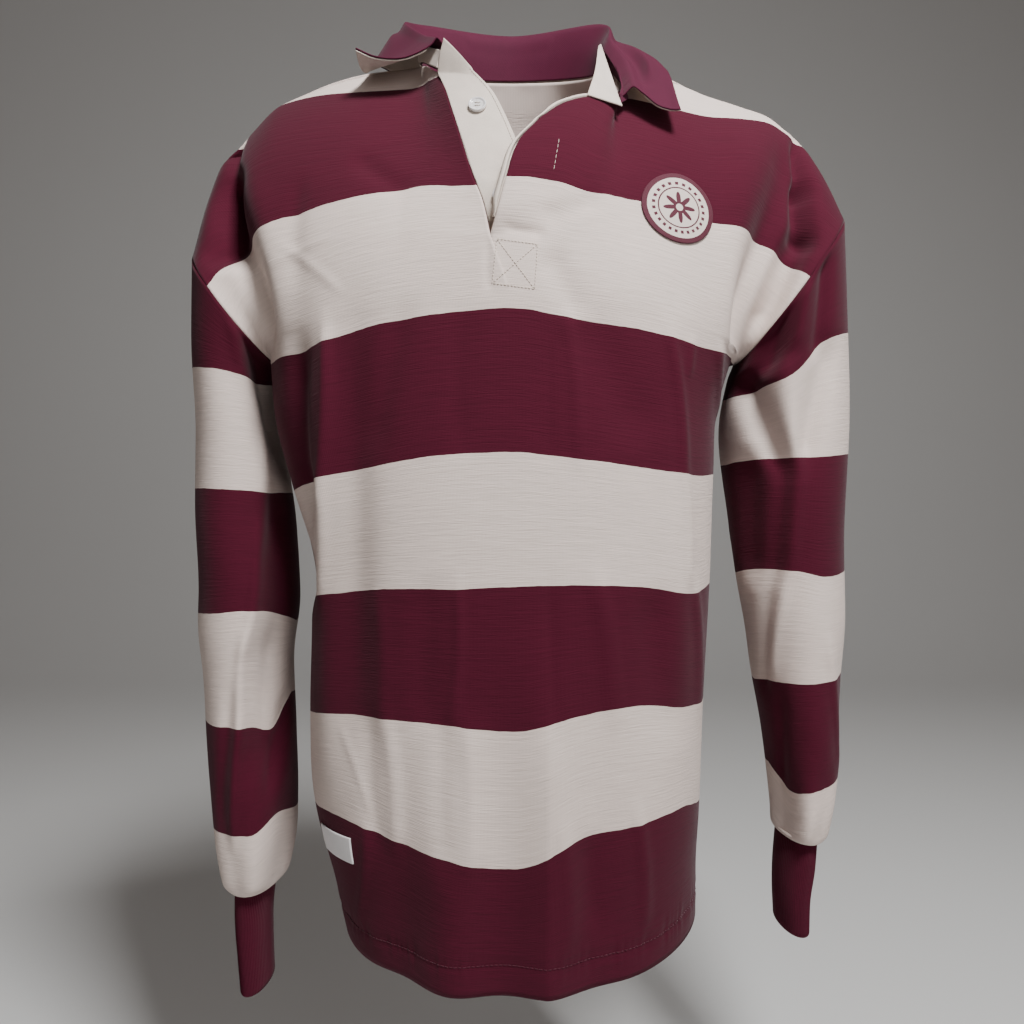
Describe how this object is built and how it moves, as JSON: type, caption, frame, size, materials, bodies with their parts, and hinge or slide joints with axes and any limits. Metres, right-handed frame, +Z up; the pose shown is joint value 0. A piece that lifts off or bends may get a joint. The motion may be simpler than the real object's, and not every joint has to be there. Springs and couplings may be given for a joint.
{
  "type": "hooped rugby jersey",
  "caption": "Long-sleeved hooped knit jersey in its hollow worn form, with a fold-over collar, half placket, ribbed cuffs, side vents and a round chest patch.",
  "frame": {"origin": "centre of the neck opening, level with the points where neck and shoulder meet", "axes": "+Z up the body, -Y out of the chest, +X towards the wearer's left"},
  "size_m": [0.5716, 0.2563, 0.8657],
  "materials": {
    "hooped_knit": "matt slub knit in maroon and ecru hoops",
    "cuff_rib": "ribbed knit",
    "collar_maroon": "plain woven, slight sheen",
    "cream_twill": "cotton twill",
    "tape": "cotton tape",
    "clear_button": "polished",
    "label_white": "satin ribbon",
    "embroidery": "satin stitch"
  },
  "bodies": {
    "root": {"front": "hooped_knit", "back": "hooped_knit", "sleeve_left": "hooped_knit", "sleeve_right": "hooped_knit", "cuff_left": "cuff_rib", "cuff_right": "cuff_rib", "collar": "collar_maroon", "under_collar": "cream_twill", "collar_stand": "cream_twill", "placket_under": "cream_twill", "placket_facing": "cream_twill", "stand_facing": "cream_twill", "vent_tape_left": "tape", "vent_tape_right": "tape", "button_top": "clear_button", "button_lower": "clear_button", "side_label": "label_white", "chest_badge": "embroidery"}
  },
  "joints": []
}
